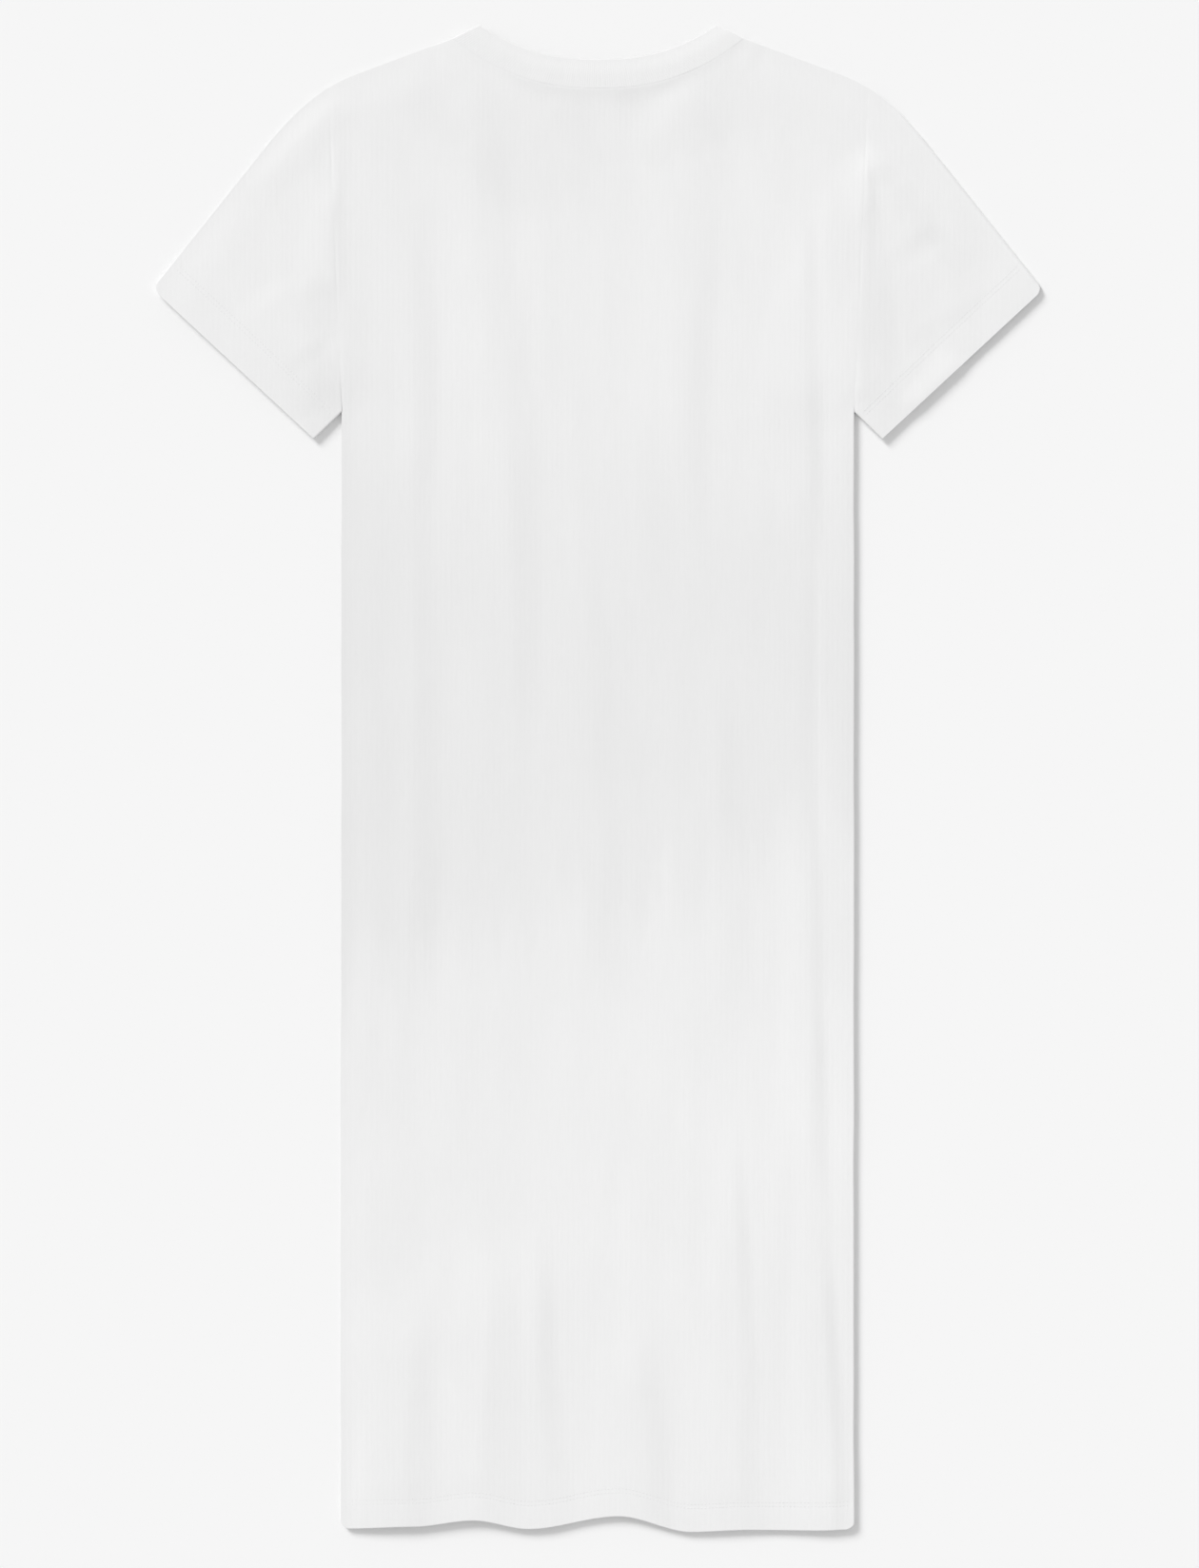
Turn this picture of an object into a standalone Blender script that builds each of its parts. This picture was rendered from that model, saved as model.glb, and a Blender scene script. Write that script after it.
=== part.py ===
"""T-shirt dress in plain white jersey, laid flat with its back up.

Every piece is a thin wall of cloth. The front panel lies on the table, the back panel lies on it
in long soft folds, each sleeve is a flattened tube, and a rib neckband runs round the neckline.

Sizes are in millimetres. "Down" is the distance from the top of the shoulders towards the hem.
"Across" is the distance from the centre line, positive to the right of the laid dress.
"""
import math
from collections import namedtuple

import bmesh
import bpy

OBJECT_NAME = "tshirt_dress"
MM = 0.001

# Cloth
WALL = 1.2
HEM_EXTRA = 0.8
GAP = 0.3

# Body outline
LENGTH = 1235.0
BODY_HALF = 210.0
SHOULDER_HALF = 221.0
SHOULDER_DOWN = 51.2
UNDERARM_DOWN = 317.0
HEM_BAND = 24.0
HEM_CORNER = 8.0
FRONT_SHORTER = 1.5

# Neckline: the band's free edge and its sewn edge both start on the shoulder line
NECK_HALF = 97.0
BAND_SEAM_HALF = 119.0
BAND_SEAM_DOWN = 11.0
BACK_NECK_DEPTH = 28.0
FRONT_NECK_DEPTH = 86.0
BAND_WIDTH = 23.5
NECK_CURVE = 2.35
BAND_CROWN = 1.0

# Sleeve outline: shoulder slope, a bend over the shoulder point, then the sleeve's straight fold
SHOULDER_SLOPE = 0.373
SLEEVE_SLOPE = 1.252
BEND_START = 200.0
BEND_END = 272.0
CUFF_TIP_ACROSS = 365.0
CUFF_CORNER = 8.0
CUFF_UNDER = (232.6, 339.0)

# How far the upper cloth stands off the lower one: on the open panel, and beside a folded edge.
# The top folds and the left side are pressed low, and the right side keeps a rounded swell. A
# hemmed band keeps this share of what the swell and the folds add.
AIR = 0.9
TOP_ROLL = 0.5
LEFT_ROLL = 0.5
RIGHT_ROLL = 1.7
ROLL_SPREAD = 400.0
ROLL_CREST = 4.0
ROLL_END = 32.0
HEM_LIFT = 0.6
ROLL_NECK_FADE = 24.0

# Waves of the hem's lower edge: how far it lies above its lowest point
HemWave = namedtuple("HemWave", "across rise")
HEM_WAVES = [
    HemWave(-208.0, 3.2),
    HemWave(-150.0, 5.0),
    HemWave(-101.0, 10.1),
    HemWave(-56.0, 3.0),
    HemWave(17.0, 13.4),
    HemWave(76.0, 0.5),
    HemWave(122.0, 2.2),
    HemWave(180.0, 1.7),
    HemWave(204.0, 2.5),
]

# Soft folds of the upper cloth. Each rises in a long slope and falls in a shorter one on its
# right. The line down the middle of the short slope is given from end to end, with the slope's
# width at both ends and its drop. The long slope is this many times as wide. A fold fades out over
# these shares of its length, and over this distance beside a folded edge or the neckband.
FOLD_RISE = 2.6
FOLD_START_FADE = 0.28
FOLD_END_FADE = 0.22
FOLD_EDGE_FADE = 20.0
BAND_FADE = 60.0
Fold = namedtuple("Fold", "start_across start_down end_across end_down start_width end_width drop")
BODY_FOLDS = [
    Fold(-144.0, 50.0, -146.0, 870.0, 20.0, 26.0, 1.3),
    Fold(-96.0, 30.0, -72.0, 330.0, 30.0, 22.0, 0.8),
    Fold(-66.0, 190.0, -58.0, 640.0, 18.0, 26.0, 0.8),
    Fold(-6.0, 400.0, 20.0, 830.0, 16.0, 24.0, 0.8),
    Fold(96.0, 20.0, 80.0, 430.0, 26.0, 18.0, 0.8),
    Fold(102.0, 440.0, 116.0, 820.0, 16.0, 24.0, 0.7),
    Fold(170.0, 120.0, 180.0, 450.0, 12.0, 14.0, 0.8),
    Fold(177.0, 600.0, 182.0, 980.0, 10.0, 14.0, 0.8),
    Fold(-143.0, 1020.0, -146.0, 1250.0, 22.0, 28.0, 1.4),
    Fold(-72.0, 985.0, -80.0, 1250.0, 20.0, 48.0, 1.7),
    Fold(-45.0, 990.0, -31.0, 1250.0, 8.0, 28.0, 1.2),
    Fold(40.0, 1015.0, 52.0, 1250.0, 12.0, 24.0, 1.1),
    Fold(115.0, 885.0, 126.0, 1250.0, 8.0, 24.0, 1.1),
    Fold(180.0, 790.0, 193.0, 1070.0, 7.0, 10.0, 0.8),
    Fold(186.0, 960.0, 204.0, 1250.0, 9.0, 18.0, 1.1),
]
SLEEVE_FOLDS = [
    Fold(-186.0, 52.0, -284.0, 146.0, 14.0, 22.0, 1.2),
    Fold(-248.0, 292.0, -212.0, 250.0, 16.0, 24.0, 0.8),
    Fold(221.0, 100.0, 240.0, 330.0, 8.0, 46.0, 1.6),
    Fold(222.0, 90.0, 284.0, 180.0, 14.0, 22.0, 1.1),
    Fold(246.0, 318.0, 292.0, 262.0, 14.0, 22.0, 0.8),
]

# Where the grids have points. Rows on a band's edge are a pair: outside it and on it.
NECK_STEPS = 18
SHOULDER_STEPS = 14
SIDE_COLUMNS = [SHOULDER_HALF - 7.0, SHOULDER_HALF - 3.0, SHOULDER_HALF]
TOP_ROWS = [0.0, 4.0, 10.0, 22.0, 45.0, 80.0, 120.0, 165.0, 215.0]
BODY_ROW_STEP = 52.0
HEM_RAMP = (34.0, 29.0)
HEM_STEP = (27.0, 24.0)
CUFF_STEP = (31.0, 28.0)
FRONT_ROWS = [0.0, 45.0, 95.0, 145.0, 205.0]
FRONT_SKIRT_ROWS = 3
BAND_ROWS = [0.0, 0.08, 0.3, 0.7, 0.92, 1.0]
OUTER_EDGE_COLUMN = 0.9
INNER_EDGE_COLUMNS = (WALL + 0.1, WALL + 0.9)
FOLD_COLUMNS = [4.0, 10.0, 22.0]
SLEEVE_MIDDLE_COLUMNS = 9
SLEEVE_PLAIN_ROWS = 7


def smooth(value):
    """0 below 0, 1 above 1, with a soft start and end between them."""
    value = min(max(value, 0.0), 1.0)
    return value * value * (3.0 - 2.0 * value)


def mix(first, second, share):
    return first + (second - first) * share


def corner_pull(distance, radius):
    """How far a round corner of this radius draws the edge back, this far from the corner."""
    if distance >= radius:
        return 0.0
    inside = radius - distance
    return radius - math.sqrt(radius * radius - inside * inside)


def fold_line_down(across):
    """The folded top edge, from the neckband over the shoulder and along the sleeve."""
    out = abs(across)
    down = BAND_SEAM_DOWN + SHOULDER_SLOPE * (min(out, BEND_START) - BAND_SEAM_HALF)
    if out > BEND_START:
        bend = min(out, BEND_END) - BEND_START
        gain = (SLEEVE_SLOPE - SHOULDER_SLOPE) / (BEND_END - BEND_START)
        down += SHOULDER_SLOPE * bend + 0.5 * gain * bend * bend
    if out > BEND_END:
        down += SLEEVE_SLOPE * (out - BEND_END)
    return down


def fold_line_slope(across):
    share = (abs(across) - BEND_START) / (BEND_END - BEND_START)
    return mix(SHOULDER_SLOPE, SLEEVE_SLOPE, min(max(share, 0.0), 1.0))


def half_width(down):
    """Half the body's width: the armhole's line above the underarm, the side seam below it."""
    share = (down - SHOULDER_DOWN) / (UNDERARM_DOWN - SHOULDER_DOWN)
    share = min(max(share, 0.0), 1.0)
    return mix(SHOULDER_HALF, BODY_HALF, share)


def neck_down(across, half, start, depth):
    """A neckline that falls by its depth between its two ends on the shoulder line."""
    share = min(abs(across) / half, 1.0)
    return start + depth * (1.0 - share ** NECK_CURVE)


def band_inner(across, depth):
    return neck_down(across, NECK_HALF, 0.0, depth)


def band_outer(across, depth):
    seam_depth = depth + BAND_WIDTH - BAND_SEAM_DOWN
    return neck_down(across, BAND_SEAM_HALF, BAND_SEAM_DOWN, seam_depth)


def panel_top(across, depth):
    """Top edge of a panel: the shoulder fold, and the neck seam just clear of the band."""
    if abs(across) > BAND_SEAM_HALF:
        return fold_line_down(across)
    step = 0.5
    slope = (band_outer(abs(across), depth) - band_outer(abs(across) - step, depth)) / step
    return band_outer(across, depth) + GAP * math.hypot(1.0, slope)


def hem_down(across, side_half):
    """Lower edge of the back panel, with its waves and its two round corners."""
    waves = HEM_WAVES
    place = min(max(across, waves[0].across), waves[-1].across)
    for left, right in zip(waves, waves[1:]):
        if place <= right.across:
            break
    share = smooth((place - left.across) / (right.across - left.across))
    rise = mix(left.rise, right.rise, share)
    return LENGTH - rise - corner_pull(side_half - abs(across), HEM_CORNER)


def along_and_aside(across, down, start, end):
    """A point seen from a line: its share of the way along it, and its distance to one side."""
    run = (end[0] - start[0], end[1] - start[1])
    offset = (across - start[0], down - start[1])
    length = math.hypot(*run)
    along = (offset[0] * run[0] + offset[1] * run[1]) / length ** 2
    aside = (offset[0] * run[1] - offset[1] * run[0]) / length
    return along, aside


def top_fold_distance(across, down):
    """Distance to the shoulder and sleeve fold. Beside the neckband it grows, so rolls fade."""
    rise = down - fold_line_down(max(abs(across), BAND_SEAM_HALF))
    from_band = max(BAND_SEAM_HALF + ROLL_NECK_FADE - abs(across), 0.0)
    far = ROLL_END * smooth(from_band / ROLL_NECK_FADE)
    return max(rise / math.hypot(1.0, fold_line_slope(across)), far)


def side_fold_distance(across, down):
    """Distance to the side seam, and to its end at the underarm for a point above it."""
    inward = half_width(down) - abs(across)
    return math.hypot(inward, min(down - UNDERARM_DOWN, 0.0))


def underarm_fold_distance(across, down):
    """Distance to the sleeve's underarm fold, from its start at the side seam to the cuff."""
    start = (BODY_HALF, UNDERARM_DOWN)
    share, aside = along_and_aside(abs(across), down, start, CUFF_UNDER)
    beyond = max(-share, share - 1.0, 0.0) * math.dist(start, CUFF_UNDER)
    return math.hypot(aside, beyond)


def fold_at(fold, across, down):
    """Height of one soft fold: up a long slope to its crest, then down a short one."""
    start = (fold.start_across, fold.start_down)
    end = (fold.end_across, fold.end_down)
    share, aside = along_and_aside(across, down, start, end)
    width = mix(fold.start_width, fold.end_width, min(max(share, 0.0), 1.0))
    past_crest = aside + 0.5 * width
    if past_crest < 0.0:
        slope = smooth(1.0 + past_crest / (FOLD_RISE * width))
    else:
        slope = 1.0 - smooth(past_crest / width)
    ends = smooth(share / FOLD_START_FADE) * smooth((1.0 - share) / FOLD_END_FADE)
    return fold.drop * slope * ends


def lift_at(across, down):
    """How far the upper cloth stands above the cloth under it."""
    top = top_fold_distance(across, down)
    side = min(side_fold_distance(across, down), underarm_fold_distance(across, down))
    nearest = min(top, side)
    side_roll = mix(LEFT_ROLL, RIGHT_ROLL, smooth(0.5 + across / ROLL_SPREAD))
    roll = (TOP_ROLL - AIR) * (1.0 - smooth(top / ROLL_END))
    roll += (side_roll - AIR) * (1.0 - smooth(side / ROLL_END))
    rise = math.sin(0.5 * math.pi * min(nearest / ROLL_CREST, 1.0))
    from_band = down - band_outer(across, BACK_NECK_DEPTH)
    from_band += BAND_FADE * smooth((abs(across) - BAND_SEAM_HALF) / ROLL_NECK_FADE + 0.5)
    folds = sum(fold_at(fold, across, down) for fold in BODY_FOLDS + SLEEVE_FOLDS)
    folds *= smooth(nearest / FOLD_EDGE_FADE) * smooth(from_band / FOLD_EDGE_FADE)
    return (AIR + roll) * rise + folds


def hemmed_lift(lift, share):
    """The lift where the cloth is turned up: the band's two layers take most of its room."""
    return mix(lift, HEM_LIFT * max(lift - AIR, 0.0), share)


def hem_share(above_hem, step):
    """0 on the single cloth and 1 on the turned-up band, this far above the hem's edge."""
    return min(max((step[0] - above_hem) / (step[0] - step[1]), 0.0), 1.0)


def place(across, down, height):
    """A point of the part's frame: origin under the middle of the dress, neck towards +Y."""
    return (across * MM, (0.5 * LENGTH - down) * MM, height * MM)


def spaced(start, end, steps):
    return [mix(start, end, index / steps) for index in range(1, steps + 1)]


def body_columns():
    """Places across the shoulders, the ones of the neckline first, then out to the armhole."""
    right = spaced(0.0, BAND_SEAM_HALF, NECK_STEPS)
    right += spaced(BAND_SEAM_HALF, SIDE_COLUMNS[0], SHOULDER_STEPS) + SIDE_COLUMNS[1:]
    return [-value for value in reversed(right)] + [0.0] + right


def body_rows():
    """Places down the body's side, from the shoulder point to the hem."""
    rows = [SHOULDER_DOWN + value for value in TOP_ROWS] + [UNDERARM_DOWN]
    band = [LENGTH - above for above in (*HEM_RAMP, *HEM_STEP, 0.5 * HEM_BAND, 0.0)]
    steps = round((band[0] - UNDERARM_DOWN) / BODY_ROW_STEP)
    return rows + spaced(UNDERARM_DOWN, band[0], steps) + band[1:]


def cloth_material(name, colour, roughness):
    material = bpy.data.materials.new(name)
    material.use_nodes = True
    shader = material.node_tree.nodes["Principled BSDF"]
    shader.inputs["Base Color"].default_value = (*colour, 1.0)
    shader.inputs["Roughness"].default_value = roughness
    shader.inputs["Metallic"].default_value = 0.0
    return material


def cloth_wall(name, columns, rows, lower_point, upper_point, material, closed=False):
    """A sheet of cloth: a grid laid on its lower points, then extruded to its upper points.

    A closed sheet is joined along its first and last column and so becomes a tube, whose lower
    points are its outside and whose upper points are its inside.
    """
    cloth = bmesh.new()
    bmesh.ops.create_grid(cloth, x_segments=columns - 1, y_segments=rows - 1, size=1.0)
    address = cloth.verts.layers.int.new("address")
    for index, vertex in enumerate(cloth.verts):
        vertex[address] = index
        vertex.co = lower_point(index % columns, index // columns)
    if closed:
        bmesh.ops.remove_doubles(cloth, verts=cloth.verts, dist=0.00001)
    extruded = bmesh.ops.extrude_face_region(cloth, geom=list(cloth.faces))
    for item in extruded["geom"]:
        if isinstance(item, bmesh.types.BMVert):
            item.co = upper_point(item[address] % columns, item[address] // columns)
    bmesh.ops.recalc_face_normals(cloth, faces=cloth.faces)
    mesh = bpy.data.meshes.new(name)
    cloth.to_mesh(mesh)
    cloth.free()
    mesh.materials.append(material)
    mesh.shade_smooth()
    mesh.set_sharp_from_angle(angle=math.radians(50.0))
    piece = bpy.data.objects.new(name, mesh)
    bpy.data.collections[OBJECT_NAME].objects.link(piece)
    return piece


def body_point(column, row, columns, rows, depth, shorter):
    """Across and down of one grid point of a panel, and its distance above the hem."""
    shoulder = columns[column]
    share_across = shoulder / SHOULDER_HALF
    bottom_half = half_width(LENGTH)
    top = panel_top(shoulder, depth)
    bottom = hem_down(share_across * bottom_half, bottom_half) - shorter
    from_hem = rows[-1] - rows[row]
    if from_hem <= HEM_RAMP[0]:
        down = bottom - from_hem
    else:
        share_down = (rows[row] - rows[0]) / (rows[-1] - HEM_RAMP[0] - rows[0])
        down = mix(top, bottom - HEM_RAMP[0], share_down)
    return shoulder * half_width(down) / half_width(top), down, from_hem


def make_front_panel(material):
    """The under panel, flat on the table, with the deeper neckline."""
    columns = body_columns()
    full = body_rows()
    rows = [full[0] + value for value in FRONT_ROWS] + [UNDERARM_DOWN]
    rows += spaced(UNDERARM_DOWN, LENGTH - HEM_RAMP[0], FRONT_SKIRT_ROWS)
    rows += [LENGTH - HEM_STEP[0], LENGTH - HEM_STEP[1], LENGTH]

    def lower(column, row):
        across, down, _ = body_point(column, row, columns, rows, FRONT_NECK_DEPTH, FRONT_SHORTER)
        return place(across, down, 0.0)

    def upper(column, row):
        across, down, above_hem = body_point(
            column, row, columns, rows, FRONT_NECK_DEPTH, FRONT_SHORTER)
        return place(across, down, WALL + HEM_EXTRA * hem_share(above_hem, HEM_STEP))

    return cloth_wall("front_panel", len(columns), len(rows), lower, upper, material)


def make_back_panel(material):
    """The upper panel, which lies on the front panel in long folds."""
    columns = body_columns()
    rows = body_rows()

    def heights(column, row):
        across, down, above_hem = body_point(column, row, columns, rows, BACK_NECK_DEPTH, 0.0)
        over_band = hem_share(above_hem, HEM_RAMP)
        under = WALL + GAP + HEM_EXTRA * over_band
        under += hemmed_lift(lift_at(across, down), over_band)
        return across, down, under, WALL + HEM_EXTRA * hem_share(above_hem, HEM_STEP)

    def lower(column, row):
        across, down, under, _ = heights(column, row)
        return place(across, down, under)

    def upper(column, row):
        across, down, under, wall = heights(column, row)
        return place(across, down, under + wall)

    return cloth_wall("back_panel", len(columns), len(rows), lower, upper, material)


def make_neckband(name, depth, base, crown, material):
    """One half of the rib band, from shoulder line to shoulder line."""
    outer = [value for value in body_columns() if abs(value) <= BAND_SEAM_HALF]

    def point(column, row, height):
        seam_across = outer[column]
        free_across = seam_across * NECK_HALF / BAND_SEAM_HALF
        share = BAND_ROWS[row]
        across = mix(free_across, seam_across, share)
        down = mix(band_inner(free_across, depth), band_outer(seam_across, depth), share)
        return place(across, down, height)

    def lower(column, row):
        return point(column, row, base)

    def upper(column, row):
        swell = math.sin(math.pi * BAND_ROWS[row])
        return point(column, row, base + WALL + crown * math.sqrt(max(swell, 0.0)))

    return cloth_wall(name, len(outer), len(BAND_ROWS), lower, upper, material)


def sleeve_columns(width, fold_column, edge_column):
    """Distances from the top fold across the flattened sleeve, closer together near its folds."""
    near = [fold_column, edge_column] + FOLD_COLUMNS
    far = [width - value for value in reversed(near)]
    return near + spaced(near[-1], far[0], SLEEVE_MIDDLE_COLUMNS)[:-1] + far


def sleeve_point(share_along, share_across):
    """Across and down of a point of the laid sleeve, between its four edges."""
    armhole_down = mix(SHOULDER_DOWN, UNDERARM_DOWN, share_across)
    armhole = (half_width(armhole_down) + GAP, armhole_down)
    tip = (CUFF_TIP_ACROSS, fold_line_down(CUFF_TIP_ACROSS))
    cuff = (mix(tip[0], CUFF_UNDER[0], share_across), mix(tip[1], CUFF_UNDER[1], share_across))
    cuff_length = math.dist(tip, CUFF_UNDER)
    pull = corner_pull(share_across * cuff_length, CUFF_CORNER)
    full = math.dist(armhole, cuff)
    share_along *= 1.0 - pull / full
    fold_across = mix(SHOULDER_HALF + GAP, tip[0], share_along)
    fold = (fold_across, fold_line_down(fold_across))
    straight = (fold_across, mix(fold_line_down(SHOULDER_HALF + GAP), tip[1], share_along))
    bow = 1.0 - smooth(share_across)
    across = mix(armhole[0], cuff[0], share_along) + bow * (fold[0] - straight[0])
    down = mix(armhole[1], cuff[1], share_along) + bow * (fold[1] - straight[1])
    return across, down, full * (1.0 - share_along)


def make_sleeve(name, side, material):
    """A flattened tube: over its upper layer from fold to fold, and back along the lower one."""
    width = math.dist((CUFF_TIP_ACROSS, fold_line_down(CUFF_TIP_ACROSS)), CUFF_UNDER)
    outer_columns = sleeve_columns(width, 0.0, OUTER_EDGE_COLUMN)
    inner_columns = sleeve_columns(width, *INNER_EDGE_COLUMNS)
    last = len(outer_columns) - 1
    band_rows = (*CUFF_STEP, 0.5 * CUFF_STEP[1], 0.0)

    def share_down_sleeve(row, share_across):
        """Rows end in the cuff band, whose width is the same from fold to fold."""
        full = sleeve_point(0.0, share_across)[2]
        if row < SLEEVE_PLAIN_ROWS:
            return (1.0 - band_rows[0] / full) * row / SLEEVE_PLAIN_ROWS
        return 1.0 - band_rows[row - SLEEVE_PLAIN_ROWS] / full

    def point(index, row, outside):
        """Places round the loop run over the upper layer first, and then back underneath."""
        index %= 2 * last
        upper_layer = index <= last
        column = index if upper_layer else 2 * last - index
        share_across = (outer_columns if outside else inner_columns)[column] / width
        share_along = share_down_sleeve(row, share_across)
        across, down, above_cuff = sleeve_point(share_along, share_across)
        hemmed = hem_share(above_cuff, CUFF_STEP)
        wall = WALL + HEM_EXTRA * hemmed
        if column in (0, last):
            height = wall + 0.5 * GAP
        elif upper_layer:
            lift = hemmed_lift(lift_at(side * across, down), hemmed)
            height = wall + GAP + lift + (wall if outside else 0.0)
        else:
            height = 0.0 if outside else wall
        return place(side * across, down, height)

    def outer(index, row):
        return point(index, row, True)

    def inner(index, row):
        return point(index, row, False)

    rows = SLEEVE_PLAIN_ROWS + len(band_rows)
    return cloth_wall(name, 2 * last + 1, rows, outer, inner, material, closed=True)


def main():
    for leftover in list(bpy.data.objects):
        bpy.data.objects.remove(leftover, do_unlink=True)
    collection = bpy.data.collections.new(OBJECT_NAME)
    bpy.context.scene.collection.children.link(collection)
    jersey = cloth_material("white_jersey", (0.86, 0.86, 0.86), 0.9)
    rib = cloth_material("white_rib", (0.88, 0.88, 0.88), 0.9)
    make_front_panel(jersey)
    make_back_panel(jersey)
    make_sleeve("sleeve_left", -1.0, jersey)
    make_sleeve("sleeve_right", 1.0, jersey)
    make_neckband("neckband_front", FRONT_NECK_DEPTH, 0.0, 0.0, rib)
    make_neckband("neckband_back", BACK_NECK_DEPTH, WALL + GAP, BAND_CROWN, rib)


main()
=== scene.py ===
"""Looks of a plain white T-shirt dress that lies flat with its back up.

Every piece of cloth is a thin shell over its solid: two body panels, two flattened sleeves and the
rib neckband, with the stitches that hold the hems. Sizes are in millimetres until a mesh is made.
"Down" is the distance from the top of the shoulders towards the hem, "across" is the distance
from the centre line, positive to the right. Arrays hold many points at once.
"""
import math
from collections import namedtuple

import bpy
import numpy as np
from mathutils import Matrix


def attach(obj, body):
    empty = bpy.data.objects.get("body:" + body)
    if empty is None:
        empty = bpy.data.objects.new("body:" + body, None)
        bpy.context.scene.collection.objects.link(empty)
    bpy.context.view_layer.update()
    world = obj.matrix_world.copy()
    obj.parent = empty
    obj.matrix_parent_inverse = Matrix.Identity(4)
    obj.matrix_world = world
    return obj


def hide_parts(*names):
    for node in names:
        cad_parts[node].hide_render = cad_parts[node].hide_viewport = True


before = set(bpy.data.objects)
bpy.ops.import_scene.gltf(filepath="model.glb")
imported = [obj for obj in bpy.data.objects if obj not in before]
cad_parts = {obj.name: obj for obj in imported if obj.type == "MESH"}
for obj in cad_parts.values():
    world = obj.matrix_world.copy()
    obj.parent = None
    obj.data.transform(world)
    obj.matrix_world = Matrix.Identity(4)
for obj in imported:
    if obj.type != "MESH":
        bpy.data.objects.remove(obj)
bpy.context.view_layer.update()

MM = 0.001

# Cloth: the solids' wall and gap, and the thinner walls that show
SOLID_WALL = 1.2
LAYER_GAP = 0.3
UPPER_LAYER = 2.0 * SOLID_WALL + LAYER_GAP
JERSEY = 0.9
HEM_JERSEY = 1.6
SLEEVE_WALL_SHARE = 0.98
OPEN_EDGE_RADIUS = 0.8
PANEL_EDGE_RADIUS = 0.9

# How close two faces come at a folded edge, and how thin a wall gets there
CLEARANCE = 0.02
BACK_CLEARANCE = 0.05
SLEEVE_CLEARANCE = 0.06
THINNEST = 0.01
FULL_WALL_FROM = (1.6, 4.0)

# A sleeve's inner faces stay in from its folds by so many walls, or by less where a fold is low
INSET_WALLS = 1.05
INSET_HEIGHT_SHARE = 0.45

# Folded edges: the height of the outermost line, how far in the cloth rounds above and below it,
# and how strongly it curves below
FoldedEdge = namedtuple("FoldedEdge", "middle above below curve")
ROUND_EDGE = FoldedEdge(1.9, 1.3, 2.2, 1.4)
SHARP_EDGE = FoldedEdge(3.07, 0.3, 7.0, 1.15)
ROUND_SIDE_ACROSS = (0.0, 60.0)
ROUND_SIDE_DOWN = (80.0, 140.0)
ROUND_UNDERARM_OVER = (0.4, 0.6)
ROUND_SLEEVE_ACROSS = (245.0, 295.0)

# The right sleeve's top fold comes down in a slope
SLOPED_EDGE_MIDDLE = 0.3
SLOPED_EDGE_RADIUS = 2.1
SLOPED_EDGE_FULLNESS = 1.25
SLOPED_EDGE_ACROSS = (226.0, 260.0)

# Body outline
LENGTH = 1235.0
BODY_HALF = 210.0
SHOULDER_HALF = 221.0
SHOULDER_DOWN = 51.2
UNDERARM_DOWN = 317.0
HEM_BAND = 24.0
HEM_CORNER = 8.0
FRONT_SHORTER = 1.5
LEFT_SIDE_LEAN = 0.8
LEAN_DOWN = (700.0, 900.0)
LEAN_FROM_CENTRE = 60.0
WAVER_DOWN = (UNDERARM_DOWN + 12.0, UNDERARM_DOWN + 62.0)

# Neckline
NECK_HALF = 97.0
BAND_SEAM_HALF = 119.0
BAND_SEAM_DOWN = 11.0
BACK_NECK_DEPTH = 28.0
FRONT_NECK_DEPTH = 86.0
BAND_WIDTH = 23.5
NECK_CURVE = 2.35

# Sleeve outline
SHOULDER_SLOPE = 0.373
SLEEVE_SLOPE = 1.252
BEND_START = 200.0
BEND_END = 272.0
CUFF_TIP_ACROSS = 365.0
CUFF_CORNER = 8.0
CUFF_UNDER = (232.6, 339.0)
CUFF_BAND = 28.0

# How far the upper cloth stands off the lower: on the open panel, and at a rounded folded edge.
# A hemmed band keeps these shares of what the edges and the folds add.
AIR = 0.9
TOP_ROLL = 0.4
LEFT_ROLL = 0.4
RIGHT_ROLL = 1.7
ROLL_SPREAD = 400.0
ROLL_END = 32.0
ROLL_NECK_FADE = 24.0
HEM_ROLL_SHARE = 0.6
HEM_FOLD_SHARE = 0.85
HEM_LIFT = 0.5
HEM_LIFT_FROM = 95.0
LEFT_CUFF_LIFT = 1.0
RIGHT_CUFF_LIFT = 0.5
CUFF_LIFT_FROM = 60.0

# Waves of the hem's lower edge: how far it lies above its lowest point
HemWave = namedtuple("HemWave", "across rise")
HEM_WAVES = [
    HemWave(-208.0, 3.2),
    HemWave(-150.0, 5.0),
    HemWave(-101.0, 10.1),
    HemWave(-56.0, 3.0),
    HemWave(17.0, 13.4),
    HemWave(76.0, 0.5),
    HemWave(122.0, 2.2),
    HemWave(180.0, 1.7),
    HemWave(204.0, 2.5),
]

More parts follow.
